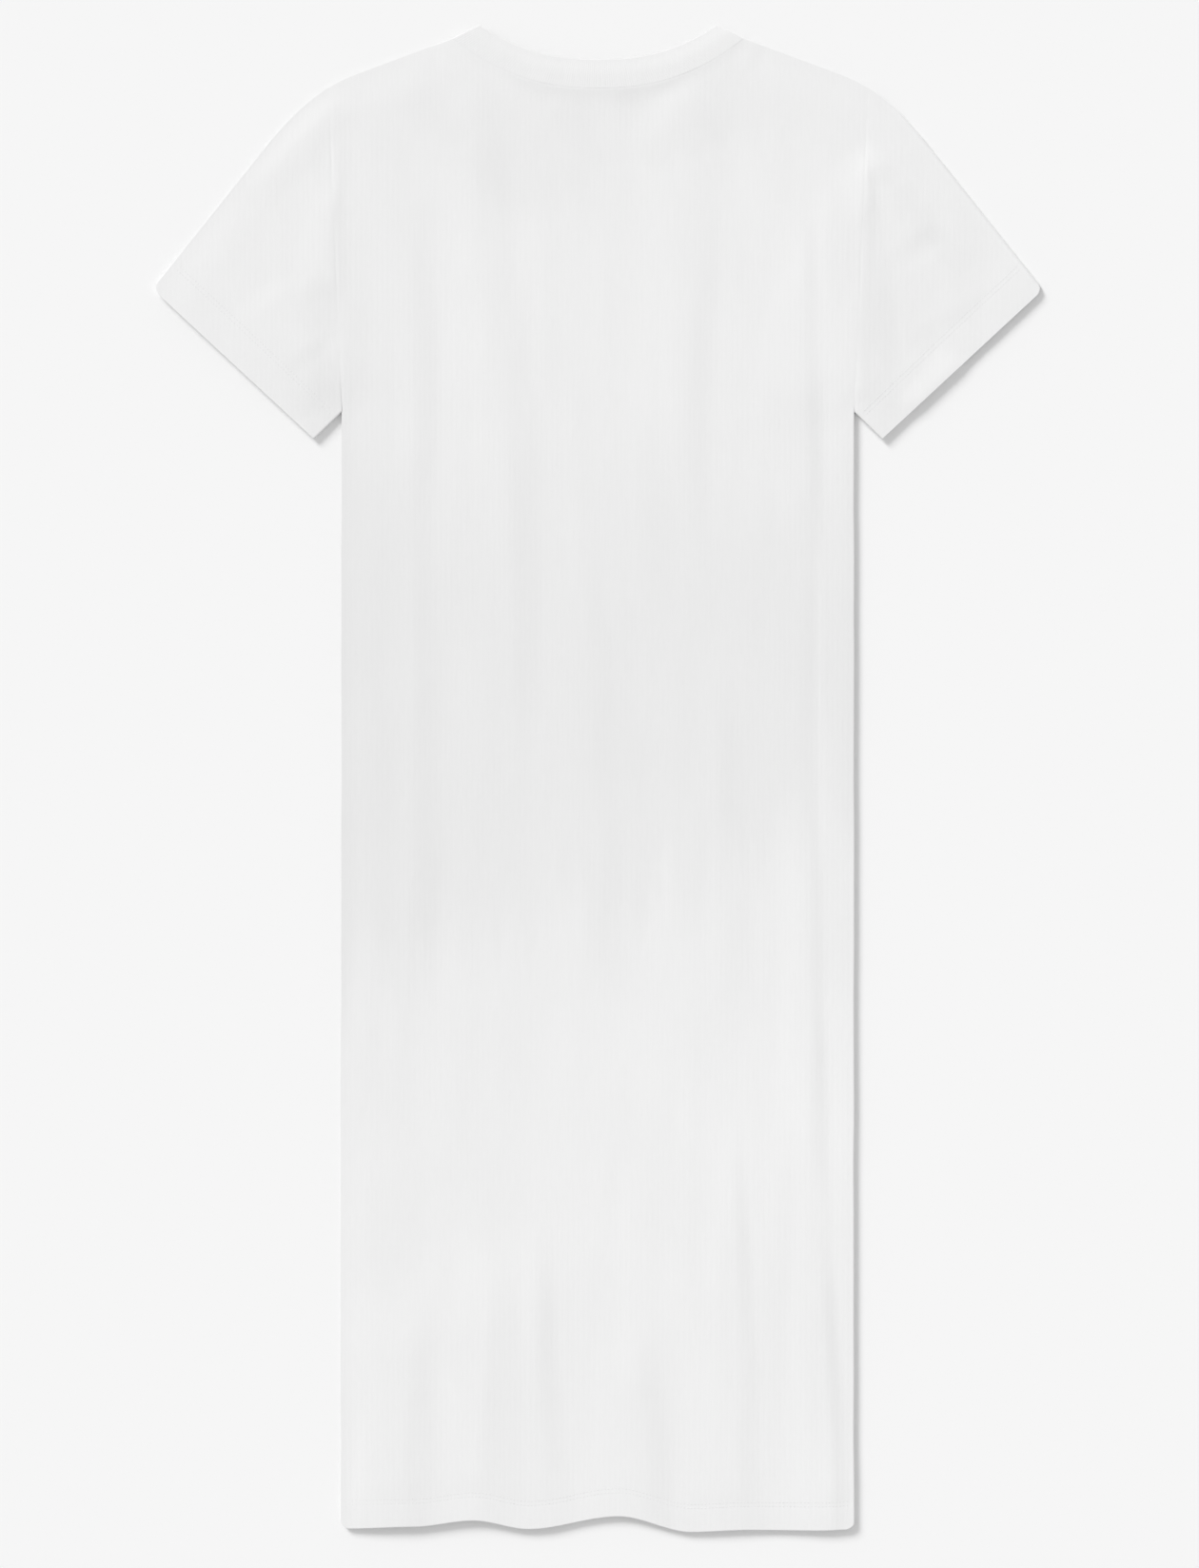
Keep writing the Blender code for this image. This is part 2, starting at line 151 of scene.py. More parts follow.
# Soft folds: the line down the middle of each steeper side, its width at both ends and its drop.
# The other side is this many times as wide, and a fold fades over these shares of its length.
# Folds fade towards the folded edges and the neckband too, but not past the neckband's ends.
FOLD_RISE = 2.6
FOLD_START_FADE = 0.28
FOLD_END_FADE = 0.22
FOLD_EDGE_FADE = 20.0
FOLD_PAST_BAND = 60.0
BAND_END_ACROSS = (BAND_SEAM_HALF - 12.0, BAND_SEAM_HALF + 12.0)
FOLD_ROUNDNESS = 0.6
Fold = namedtuple("Fold", "start_across start_down end_across end_down start_width end_width drop")
FOLDS = [
    Fold(-142.0, 50.0, -143.0, 900.0, 20.0, 28.0, 1.05),
    Fold(-96.0, 30.0, -72.0, 330.0, 30.0, 22.0, 0.7),
    Fold(-66.0, 170.0, -58.0, 600.0, 20.0, 28.0, 0.5),
    Fold(-6.0, 400.0, 20.0, 830.0, 18.0, 26.0, 0.6),
    Fold(96.0, 20.0, 80.0, 430.0, 26.0, 18.0, 0.7),
    Fold(102.0, 500.0, 118.0, 870.0, 20.0, 28.0, 0.6),
    Fold(170.0, 120.0, 180.0, 450.0, 12.0, 14.0, 0.7),
    Fold(177.0, 600.0, 182.0, 980.0, 10.0, 14.0, 0.7),
    Fold(-143.0, 1020.0, -147.0, 1290.0, 22.0, 28.0, 1.3),
    Fold(-72.0, 985.0, -81.0, 1290.0, 22.0, 52.0, 2.2),
    Fold(-45.0, 980.0, -29.0, 1290.0, 13.0, 30.0, 1.1),
    Fold(42.0, 1045.0, 54.0, 1290.0, 16.0, 27.0, 1.15),
    Fold(115.0, 885.0, 127.0, 1290.0, 9.0, 25.0, 1.1),
    Fold(180.0, 790.0, 190.0, 1010.0, 7.0, 10.0, 0.45),
    Fold(180.0, 380.0, 184.0, 720.0, 5.0, 6.0, -0.2),
    Fold(186.0, 960.0, 206.0, 1290.0, 9.0, 22.0, 1.2),
    Fold(-186.0, 52.0, -284.0, 146.0, 22.0, 30.0, 0.65),
    Fold(-214.0, 120.0, -211.0, 230.0, 8.0, 14.0, 0.5),
    Fold(-262.0, 200.0, -214.0, 262.0, 24.0, 24.0, 0.4),
    Fold(-248.0, 292.0, -212.0, 250.0, 16.0, 24.0, 0.25),
    Fold(221.0, 100.0, 240.0, 330.0, 11.0, 46.0, 1.4),
    Fold(222.0, 90.0, 284.0, 180.0, 14.0, 22.0, 1.1),
    Fold(246.0, 318.0, 292.0, 262.0, 14.0, 22.0, 0.8),
    Fold(276.0, 170.0, 312.0, 238.0, 18.0, 28.0, 0.45),
    Fold(219.5, 104.0, 227.0, 156.0, 2.5, 5.0, 0.26),
]

# Smooth random relief: its height, the size of its cells and its seed. A fold's two have as
# height a share of its width and of its drop, and their seeds are counted on from the fold's own.
Noise = namedtuple("Noise", "size cell_across cell_down seed")
NOISE_CELLS = 64
NOISE_SHIFT_ACROSS = 31.7
NOISE_SHIFT_DOWN = 7.3
CLOTH_UNEVEN = (Noise(0.16, 26.0, 150.0, 3), Noise(0.07, 12.0, 70.0, 4))
FOLD_WANDER = Noise(0.16, 40.0, 70.0, 0)
FOLD_UNEVEN = Noise(0.3, 40.0, 95.0, 1)
SIDE_WAVER = Noise(0.35, 10.0, 45.0, 11)
ARMHOLE_PUCKER = Noise(0.02, 10.0, 6.0, 21)
ARMHOLE_UNEVEN = Noise(0.4, 10.0, 42.0, 22)
NECKBAND_UNEVEN = Noise(0.05, 14.0, 30.0, 51)

# Turned-up hems: the band's width, its two sewn lines, and its puckers and swells. Counted from
# the band's upper edge: where the cloth settles onto it, where it thickens, where puckers end.
SewnHem = namedtuple("SewnHem", "band lines pucker swell")
STITCH_LINES = (HEM_BAND - 4.2, HEM_BAND - 1.0)
CUFF_STITCH_LINES = (CUFF_BAND - 4.2, CUFF_BAND - 1.0)
HEM = SewnHem(HEM_BAND, STITCH_LINES, Noise(0.03, 5.5, 16.0, 31), Noise(0.08, 16.0, 60.0, 32))
CUFF = SewnHem(CUFF_BAND, CUFF_STITCH_LINES, Noise(0.03, 6.0, 18.0, 41), Noise(0.12, 19.0, 60.0, 42))
SEWN_LINE_DEPTH = 0.06
SEWN_LINE_WIDTH = 0.8
HEM_PUCKER_SLANT = 0.5
HEM_SETTLES = (16.0, -6.0)
HEM_THICKENS = (1.5, 0.0)
HEM_PUCKERS_END = (6.0, -2.0)
CUFF_RUN_SHARE = 0.7

# Armhole seams: a fine groove beside the ridge of the seam allowance. They fade at both ends.
ARMHOLE_GROOVE = 0.05
ARMHOLE_GROOVE_WIDTH = 0.8
ARMHOLE_PUCKER_WIDTH = 7.0
ARMHOLE_LEAST = 0.6
ARMHOLE_RIDGE = 0.11
RIDGE_NEAR_SIDE = (0.4, 3.0)
RIDGE_FAR_SIDE = (11.0, 6.0)
SEAM_PAST_END = 6.0
SEAM_BEFORE_END = 2.0

# Where the back panel meets the neckband, and where it sinks into the lower front neckline
NECK_GROOVE = 0.05
NECK_GROOVE_WIDTH = 0.9
NECK_FALL = 0.22
NECK_FALL_TO = 6.0
NECK_ENDS = (BAND_SEAM_HALF + 4.0, BAND_SEAM_HALF - 2.0)
NECK_SINK = 0.7
NECK_SINK_DOWN = (-30.0, 15.0)
NECK_SINK_ACROSS = 45.0
NECK_SINK_FROM_SEAM = 14.0

# Mesh spacing
COLUMN_STEP = 2.7
ROW_STEP = 5.0
FRONT_COLUMN_STEP = 4.2
FRONT_ROW_STEP = 8.0
SLEEVE_COLUMN_STEP = 2.0
SLEEVE_ROWS = 60
HEM_ROW_STEP = 1.6
HEM_ROWS_PAST_BAND = 8.0
CUFF_ROWS_PAST_BAND = 3.0
SEAM_SHARES = (0.0, 0.0005, 0.002, 0.004, 0.007, 0.011)
LIP_PLACES = (0.02, 0.08, 0.2, 0.4, 0.7, 1.1, 1.7, 2.4)
SLEEVE_LIP_STRETCH = 1.1
RIM_ANGLE = 50.0
FAR = 50.0

# Rib neckband: the pitch of its ribs, the rows across it and its rounded form
RIB_PITCH = 1.75
RIB_DEPTH = 0.035
RIB_POINTS = 6
RIB_ROWS = (0.0, 0.002, 0.008, 0.018, 0.035, 0.06, 0.09, 0.13, 0.2,
            0.3, 0.45, 0.6, 0.75, 0.87, 0.94, 0.975, 0.99, 1.0)
RIB_FREE_FADE = (0.4, 2.9)
RIB_SEAM_FADE = (-0.6, 1.4)
BAND_LINE_POINTS = 2001
BAND_THINNER = 0.5
BAND_THINNER_TO = 0.6
BAND_SWELL = 0.14
BAND_SWELL_FROM = 0.5
BAND_FREE_RADIUS = 0.5
BAND_END_RADIUS = 0.4
BAND_END_LOW = 0.85
NeckbandHalf = namedtuple("NeckbandHalf", "depth base full undercut free_edge_lifts")
BACK_BAND = NeckbandHalf(BACK_NECK_DEPTH, SOLID_WALL + LAYER_GAP, 2.24, 1.6, True)
FRONT_BAND = NeckbandHalf(FRONT_NECK_DEPTH, 0.0, 1.2, 0.9, False)

# Stitches: short threads laid end to end, a little above the cloth and sunk at their ends
STITCH_LENGTH = 2.3
STITCH_PITCH = 2.9
STITCH_RADIUS = 0.2
STITCH_FLATNESS = 1.3
STITCH_END_SIZE = 0.35
STITCH_SINK = 0.16
STITCH_SIDES = 6
STITCH_RINGS = 5
STITCH_LIFT = 0.03
STITCH_AHEAD = 0.2
ROW_START = 2.0
ROW_STOP = 3.0
HEM_LINE_POINTS = 400
CUFF_LINE_POINTS = 200
HEM_LINE_HALF = BODY_HALF - 3.0
CUFF_LINE_ENDS = (0.02, 0.98)

# Knit: the width and height of a stitch, how deep it is drawn, and the tone of the cloth
WALE = 0.95
COURSE = 0.72
JERSEY_DEPTH = 0.10
RIB_KNIT_DEPTH = 0.08
JERSEY_TONE = 0.866
RIB_TONE = 0.856
KNIT_SLANT = 1.4
KNIT_STRENGTH = 0.5
TONE_BELOW = 0.012
TONE_ABOVE = 0.008
TONE_FROM = 0.3
TONE_TO = 0.7
YARN_CELLS = (900.0, 60.0, 900.0)
UNEVEN_CELLS = 9.0
CLOTH_ROUGHNESS = (0.84, 0.95)
NAP = 0.06
NAP_ROUGHNESS = 0.6
CLOTH_SHINE = 0.25

# Thread: its twist and its tones
TWIST_CELLS = 900.0
THREAD_TONES = (0.78, 0.86)
THREAD_ROUGHNESS = 0.6

# Painted shade: the middle of the body is painted a shade darker in place of shading, in metres up the
# dress
DEEPER_FROM = (-0.07, 0.02)
DEEPER_TO = (0.19, 0.44)
DEEPER_SLANT = 0.30
DEEPER_STREAKS = 0.16
STREAK_CELLS = (42.0, 3.0, 3.0)
SHADE_STREAKS = 0.25
DEEPER_BY = 0.038

# Smaller places of painted shade and painted light: painted a shade darker, or lighter where the amount
# is below zero, in place of shading, each soft from its middle to its edge
Shade = namedtuple("Shade", "across down half_across half_down deeper")
SHADE_MIDDLE = 0.1
PAINTED_SHADES_AND_LIGHT = [
    Shade(-206.0, 500.0, 56.0, 430.0, 0.034),
    Shade(208.0, 480.0, 28.0, 210.0, 0.022),
    Shade(-56.0, 84.0, 80.0, 64.0, 0.022),
    Shade(-122.0, 42.0, 50.0, 40.0, 0.018),
    Shade(112.0, 44.0, 44.0, 40.0, 0.014),
    Shade(28.0, 66.0, 92.0, 36.0, 0.022),
    Shade(198.0, 160.0, 16.0, 62.0, 0.022),
    Shade(222.0, 128.0, 10.0, 40.0, 0.012),
    Shade(240.0, 250.0, 42.0, 92.0, 0.014),
    Shade(-230.0, 212.0, 24.0, 32.0, 0.016),
    Shade(-234.0, 274.0, 28.0, 36.0, 0.018),
    Shade(-238.0, 311.0, 18.0, 16.0, -0.014),
    Shade(234.0, 98.0, 14.0, 13.0, 0.012),
    Shade(252.0, 119.0, 14.0, 19.0, 0.014),
    Shade(266.0, 140.0, 13.0, 18.0, 0.014),
    Shade(291.0, 165.0, 20.0, 18.0, 0.012),
    Shade(70.0, 900.0, 200.0, 190.0, -0.014),
    Shade(178.0, 1040.0, 20.0, 110.0, 0.016),
    Shade(190.0, 715.0, 30.0, 75.0, 0.020),
    Shade(158.0, 275.0, 24.0, 95.0, 0.020),
    Shade(92.0, 1000.0, 24.0, 90.0, 0.012),
    Shade(-120.0, 1035.0, 28.0, 62.0, 0.014),
    Shade(-184.0, 1170.0, 78.0, 150.0, 0.018),
    Shade(-172.0, 190.0, 42.0, 140.0, 0.018),
    Shade(-150.0, 62.0, 62.0, 40.0, 0.010),
]

# Floor and light: a sky that is brighter near the horizon, and a low soft sun. Floor in metres.
FLOOR_HALF = 12.0
FLOOR_TONE = 0.92
FLOOR_ROUGHNESS = (0.9, 1.0)
SKY_STRENGTH = 0.6085
HORIZON_STRENGTH = 0.92
HORIZON_TO = 0.35
KEY_STRENGTH = 2.69
KEY_SOFTNESS = 21.0
KEY_ELEVATION = 26.5
KEY_AZIMUTH = 220.5

# Camera: straight above, with the photograph's frame. Its height is in metres.
PHOTO_SIZE = (1260.0, 1648.0)
PHOTO_CENTRE_LINE = 628.5
PHOTO_SHOULDER_TOP = 27.0
MM_PER_PIXEL = 0.78
CAMERA_HEIGHT = 4.0
CAMERA_SEES_TO = 50.0
SENSOR = 36.0


def smooth(value):
    value = np.clip(value, 0.0, 1.0)
    return value * value * (3.0 - 2.0 * value)


def ramp(value, start, end):
    """Soft step from 0 at the start to 1 at the end. It falls where the end is the smaller one."""
    return smooth((value - start) / (end - start))


def mix(first, second, share):
    return first + (second - first) * share


def bell(distance, width):
    return np.exp(-((distance / width) ** 2))


def lip(distance, radius, fullness=3.0):
    """Rounded edge of a wall: 0 on the edge, 1 from one radius inwards. A fuller one is squarer."""
    outside = 1.0 - np.clip(distance / radius, 0.0, 1.0)
    return np.clip(1.0 - outside ** fullness, 0.0, 1.0) ** (1.0 / fullness)


def under_lip(distance, radius, curve):
    """The underside of a folded edge draws in towards what it rests on: 0 on the edge."""
    return 1.0 - (1.0 - np.clip(distance / radius, 0.0, 1.0)) ** curve


def relief(noise, across, down):
    """Smooth random relief, up to its size above and below zero."""
    table = np.random.default_rng(noise.seed).uniform(-1.0, 1.0, (NOISE_CELLS, NOISE_CELLS))
    column = across / noise.cell_across + NOISE_SHIFT_ACROSS
    row = down / noise.cell_down + NOISE_SHIFT_DOWN
    left, top = np.floor(column).astype(int), np.floor(row).astype(int)
    share_x, share_y = smooth(column - left), smooth(row - top)
    corner = [table[(top + j) % NOISE_CELLS, (left + i) % NOISE_CELLS] for j in (0, 1) for i in (0, 1)]
    upper, lower = mix(corner[0], corner[1], share_x), mix(corner[2], corner[3], share_x)
    return noise.size * mix(upper, lower, share_y)


def relief_down(noise, down):
    """Relief that changes only down the dress."""
    return relief(noise, 0.0 * down, down)


def corner_pull(distance, radius):
    """How far a rounded corner draws an edge back, at a distance from the corner."""
    inside = np.clip(radius - distance, 0.0, radius)
    return radius - np.sqrt(radius * radius - inside * inside)


def fold_line_down(across):
    """The folded top edge, from the neckband over the shoulder and along the sleeve."""
    out = np.abs(across)
    bend = np.clip(out - BEND_START, 0.0, BEND_END - BEND_START)
    gain = (SLEEVE_SLOPE - SHOULDER_SLOPE) / (BEND_END - BEND_START)
    down = BAND_SEAM_DOWN + SHOULDER_SLOPE * (np.minimum(out, BEND_START) - BAND_SEAM_HALF)
    down = down + SHOULDER_SLOPE * bend + 0.5 * gain * bend * bend
    return down + SLEEVE_SLOPE * np.maximum(out - BEND_END, 0.0)


def fold_line_slope(across):
    share = (np.abs(across) - BEND_START) / (BEND_END - BEND_START)
    return mix(SHOULDER_SLOPE, SLEEVE_SLOPE, np.clip(share, 0.0, 1.0))


def half_width(down):
    """Half the body's width: the armhole's line above the underarm, the side seam below it."""
    share = np.clip((down - SHOULDER_DOWN) / (UNDERARM_DOWN - SHOULDER_DOWN), 0.0, 1.0)
    return mix(SHOULDER_HALF, BODY_HALF, share)


def neck_down(across, half, start, depth):
    share = np.minimum(np.abs(across) / half, 1.0)
    return start + depth * (1.0 - share ** NECK_CURVE)


def band_inner(across, depth):
    """The neckband's free edge."""
    return neck_down(across, NECK_HALF, 0.0, depth)


def band_outer(across, depth):
    """The neckband's sewn edge."""
    return neck_down(across, BAND_SEAM_HALF, BAND_SEAM_DOWN, depth + BAND_WIDTH - BAND_SEAM_DOWN)


def panel_top(across, depth):
    out = np.abs(across)
    return np.where(out > BAND_SEAM_HALF, fold_line_down(out), band_outer(out, depth))


def hem_down(across, side_half):
    """The hem's wavy lower edge, with rounded corners."""
    place = np.clip(across, HEM_WAVES[0].across, HEM_WAVES[-1].across)
    rise = np.zeros_like(place)
    for left, right in zip(HEM_WAVES, HEM_WAVES[1:]):
        inside = (place >= left.across) & (place <= right.across)
        rise = np.where(inside, mix(left.rise, right.rise, ramp(place, left.across, right.across)), rise)
    return LENGTH - rise - corner_pull(side_half - np.abs(across), HEM_CORNER)


def along_and_aside(across, down, start, end):
    """Points seen from a line: their share of the way along it, and their distance aside."""
    run = (end[0] - start[0], end[1] - start[1])
    offset = (across - start[0], down - start[1])
    length = math.hypot(*run)
    along = (offset[0] * run[0] + offset[1] * run[1]) / length ** 2
    aside = (offset[0] * run[1] - offset[1] * run[0]) / length
    return along, aside


def top_fold_distance(across, down):
    rise = down - fold_line_down(np.maximum(np.abs(across), BAND_SEAM_HALF))
    return np.maximum(rise / np.hypot(1.0, fold_line_slope(across)), 0.0)


def side_fold_distance(across, down):
    inward = half_width(down) - np.abs(across)
    return np.hypot(inward, np.minimum(down - UNDERARM_DOWN, 0.0))


def underarm_fold_distance(across, down):
    start = (BODY_HALF, UNDERARM_DOWN)
    share, aside = along_and_aside(np.abs(across), down, start, CUFF_UNDER)
    beyond = np.maximum(np.maximum(-share, share - 1.0), 0.0) * math.dist(start, CUFF_UNDER)
    return np.hypot(aside, beyond)


def fold_at(fold, across, down):
    """Height of one soft fold: a long slope up to its crest, then a short drop on its right."""
    start = (fold.start_across, fold.start_down)
    end = (fold.end_across, fold.end_down)
    share, aside = along_and_aside(across, down, start, end)
    seed = int(abs(fold.start_across * 7.0 + fold.start_down)) % 1000
    width = mix(fold.start_width, fold.end_width, np.clip(share, 0.0, 1.0))
    wander = width * relief_down(FOLD_WANDER._replace(seed=seed + FOLD_WANDER.seed), down)
    uneven = 1.0 + relief_down(FOLD_UNEVEN._replace(seed=seed + FOLD_UNEVEN.seed), down)
    past_crest = aside + wander + 0.5 * width
    rising = smooth(1.0 + past_crest / (FOLD_RISE * width))
    down_slope = np.clip(past_crest / width, 0.0, 1.0)
    falling = 1.0 - mix(down_slope, smooth(down_slope), FOLD_ROUNDNESS)
    ends = smooth(share / FOLD_START_FADE) * smooth((1.0 - share) / FOLD_END_FADE)
    return fold.drop * uneven * ends * np.where(past_crest < 0.0, rising, falling)


def folds_at(across, down, nearest):
    """All folds and the small unevenness of the cloth, gone at the folded edges and the band."""
    folds = sum(fold_at(fold, across, down) for fold in FOLDS)
    folds = folds + sum(relief(noise, across, down) for noise in CLOTH_UNEVEN)
    seam = down - band_outer(across, BACK_NECK_DEPTH)
    from_band = seam + FOLD_PAST_BAND * ramp(np.abs(across), *BAND_END_ACROSS)
    return folds * smooth(nearest / FOLD_EDGE_FADE) * smooth(from_band / FOLD_EDGE_FADE)


def upper_height(across, down, hemmed):
    """Height of the upper cloth. A hemmed band is thicker and lies closer to the cloth below."""
    near_band = ramp(np.abs(across), BAND_SEAM_HALF + ROLL_NECK_FADE, BAND_SEAM_HALF)
    top = np.maximum(top_fold_distance(across, down), ROLL_END * near_band)
    side = np.minimum(side_fold_distance(across, down), underarm_fold_distance(across, down))
    side_roll = mix(LEFT_ROLL, RIGHT_ROLL, smooth(0.5 + across / ROLL_SPREAD))
    roll = (TOP_ROLL - AIR) * ramp(top, ROLL_END, 0.0) + (side_roll - AIR) * ramp(side, ROLL_END, 0.0)
    folds = folds_at(across, down, np.minimum(top, side))
    open_cloth = AIR + roll + folds
    band = AIR + HEM_ROLL_SHARE * roll + HEM_FOLD_SHARE * folds
    return UPPER_LAYER + mix(open_cloth, band, hemmed)


def band_ramp(hem, above, places):
    """Soft step around the upper edge of a hem's band: 0 on the single cloth, 1 on the band."""
    return ramp(above, hem.band + places[0], hem.band + places[1])


def hemmed_share(hem, above):
    """How far the cloth lies as a turned-up band does."""
    return band_ramp(hem, above, HEM_SETTLES)


def wall_at(hem, above):
    """Thickness of the cloth, which steps up where the hem is turned up under it."""
    return mix(JERSEY, HEM_JERSEY, band_ramp(hem, above, HEM_THICKENS))


def sewn_relief(hem, pucker_run, swell_run, above):
    """The two sewn lines of a hem draw the band in, and the band puckers between them."""
    lines = sum(bell(above - line, SEWN_LINE_WIDTH) for line in hem.lines)
    band = band_ramp(hem, above, HEM_PUCKERS_END)
    puckers = relief(hem.pucker, pucker_run, above) + relief(hem.swell, swell_run, above)
    return -SEWN_LINE_DEPTH * lines + band * puckers


def armhole_relief(across, down, on_sleeve):
    """The armhole seam: a fine groove beside the seam allowance, which lies to the right of it."""
    distance = np.abs(np.abs(across) - half_width(down))
    within = ramp(down, SHOULDER_DOWN - SEAM_PAST_END, SHOULDER_DOWN + SEAM_BEFORE_END)
    within = within * ramp(down, UNDERARM_DOWN + SEAM_PAST_END, UNDERARM_DOWN - SEAM_BEFORE_END)
    uneven = ARMHOLE_LEAST + relief_down(ARMHOLE_UNEVEN, down)
    groove = -ARMHOLE_GROOVE * uneven * bell(distance, ARMHOLE_GROOVE_WIDTH)
    pucker = relief_down(ARMHOLE_PUCKER, down) * bell(distance, ARMHOLE_PUCKER_WIDTH)
    over_allowance = (across > 0) if on_sleeve else (across < 0)
    ridge = ramp(distance, *RIDGE_NEAR_SIDE) * ramp(distance, *RIDGE_FAR_SIDE)
    ridge = np.where(over_allowance, ARMHOLE_RIDGE * uneven * ridge, 0.0)
    return (groove + ridge + pucker) * within


def to_points(across, down, height):
    """An array of points of the part's frame, in metres."""
    return np.stack([across * MM, (0.5 * LENGTH - down) * MM, height * MM], axis=-1)


def add_piece(name, points, faces, material):
    """An object with smooth faces, made from points in metres."""
    mesh = bpy.data.meshes.new(name)
    mesh.from_pydata(points.tolist(), [], faces)
    mesh.materials.append(material)
    mesh.validate()
    mesh.shade_smooth()
    piece = bpy.data.objects.new(name, mesh)
    bpy.context.scene.collection.objects.link(piece)
    return piece


def shell(name, upper, lower, material, tube=False):
    """A closed wall between two grids of points. A tube joins its last column to its first."""
    rows, columns = upper.shape[:2]
    points = np.concatenate([upper.reshape(-1, 3), lower.reshape(-1, 3)])
    index = np.arange(rows * columns).reshape(rows, columns)
    if tube:
        index = np.concatenate([index, index[:, :1]], axis=1)
    below = index + rows * columns

    def quads(grid):
        corners = (grid[:-1, :-1], grid[:-1, 1:], grid[1:, 1:], grid[1:, :-1])
        return np.stack(corners, axis=-1).reshape(-1, 4)

    def rim(edge, under):
        return np.stack([edge[1:], edge[:-1], under[:-1], under[1:]], axis=-1)

    faces = [quads(index)[:, ::-1], quads(below)]
    faces.append(rim(index[0], below[0])[:, ::-1])
    faces.append(rim(index[-1], below[-1]))
    if not tube:
        faces.append(rim(index[:, 0], below[:, 0]))
        faces.append(rim(index[:, -1], below[:, -1])[:, ::-1])
    piece = add_piece(name, points, np.concatenate(faces).tolist(), material)
    piece.data.set_sharp_from_angle(angle=math.radians(RIM_ANGLE))
    return piece


def spread(start, end, step, near=()):
    """Places from start to end about a step apart, with extra ones close to each end."""
    count = max(int(round(abs(end - start) / step)), 1)
    places = np.linspace(start, end, count + 1)
    extra = [start + value for value in near] + [end - value for value in near]
    return np.unique(np.round(np.concatenate([places, extra]), 4))


def hem_rows_up_to(limit):
    """Distances above a hem, from the highest down to the hem itself, closest near the edge."""
    return np.unique(np.concatenate([np.arange(0.0, limit, HEM_ROW_STEP), LIP_PLACES]))[::-1]


def body_grid(depth, shorter, column_step, row_step):
    """Across, down and distance above the hem for every point of a panel."""
    columns = spread(-SHOULDER_HALF, SHOULDER_HALF, column_step, LIP_PLACES)
    band_rows = HEM_BAND + HEM_ROWS_PAST_BAND
    rows_above = spread(0.0, 1.0, row_step / (LENGTH - SHOULDER_DOWN - band_rows))
    near_top = np.array(LIP_PLACES) / (LENGTH - SHOULDER_DOWN)
    rows_above = np.unique(np.concatenate([rows_above, near_top]))
    above_band = hem_rows_up_to(band_rows)
    top = panel_top(columns, depth)
    bottom_half = half_width(np.full_like(columns, LENGTH))
    bottom_across = columns * bottom_half / half_width(top)
    bottom = hem_down(bottom_across, bottom_half) - shorter
    upper_down = mix(top, bottom - band_rows, rows_above[:, None])
    lower_down = bottom - above_band[:, None]
    down = np.concatenate([upper_down, lower_down])
    above = np.concatenate([bottom - upper_down, np.repeat(above_band[:, None], len(columns), 1)])
    across = columns * half_width(down) / half_width(top)
    return across, down, above


def back_surface(across, down, above_hem):
    """Height of the back panel's outer face."""
    out = np.abs(across)
    seam = down - band_outer(across, BACK_NECK_DEPTH)
    neck = NECK_FALL * ramp(seam, NECK_FALL_TO, 0.0) - NECK_GROOVE * bell(seam, NECK_GROOVE_WIDTH)
    neck = neck * ramp(out, *NECK_ENDS)
    front_neck = band_inner(across, FRONT_NECK_DEPTH) - down
    sunk = -NECK_SINK * ramp(front_neck, *NECK_SINK_DOWN)
    sunk = sunk * ramp(out, NECK_HALF, NECK_HALF - NECK_SINK_ACROSS)
    sunk = sunk * ramp(seam, 0.0, NECK_SINK_FROM_SEAM)
    seams = armhole_relief(across, down, False)
    seams = seams + sewn_relief(HEM, across + HEM_PUCKER_SLANT * above_hem, across, above_hem)
    lift = HEM_LIFT * ramp(above_hem, HEM_LIFT_FROM, 0.0)
    return upper_height(across, down, hemmed_share(HEM, above_hem)) + seams + lift + neck + sunk


def side_waver(across, down):
    """The body's free side edges waver a little, and the left one leans out towards the hem."""
    waver = relief_down(SIDE_WAVER, down) * ramp(down, *WAVER_DOWN)
    lean = LEFT_SIDE_LEAN * ramp(down, *LEAN_DOWN) * ramp(across, 0.0, -LEAN_FROM_CENTRE)
    return across + waver * np.sign(across) - lean


def folded_distance(across, down):
    """Distance to the body's folded edges alone: the shoulders and the two side seams."""
    top = top_fold_distance(across, down) + np.where(np.abs(across) < BAND_SEAM_HALF, FAR, 0.0)
    side = np.where(down >= UNDERARM_DOWN, half_width(down) - np.abs(across), FAR)
    return np.minimum(top, side)


def folded_edge(distance, round_share):
    """Height of the folded edge's outermost line, the radius above it and the cloth below it."""
    middle, above, below, curve = (
        mix(sharp, rounded, round_share) for sharp, rounded in zip(SHARP_EDGE, ROUND_EDGE))
    return middle, above, middle * (1.0 - under_lip(distance, below, curve))


def side_round_share(across, down):
    """The right side seam is rounder than the shoulders and the left side."""
    return ramp(across, *ROUND_SIDE_ACROSS) * ramp(down, *ROUND_SIDE_DOWN)


def closed_hem(top, bottom, above):
    """Both faces of a wall, drawn together along its lower edge."""
    middle = 0.5 * (top + bottom)
    half = 0.5 * (top - bottom) * lip(above, OPEN_EDGE_RADIUS)
    return middle + half, middle - half


def panel_shell(name, across, down, above, top, bottom, material):
    """A body panel between its two faces, closed at the hem."""
    across = side_waver(across, down)
    top, bottom = closed_hem(top, bottom, above)
    return shell(name, to_points(across, down, top), to_points(across, down, bottom), material)


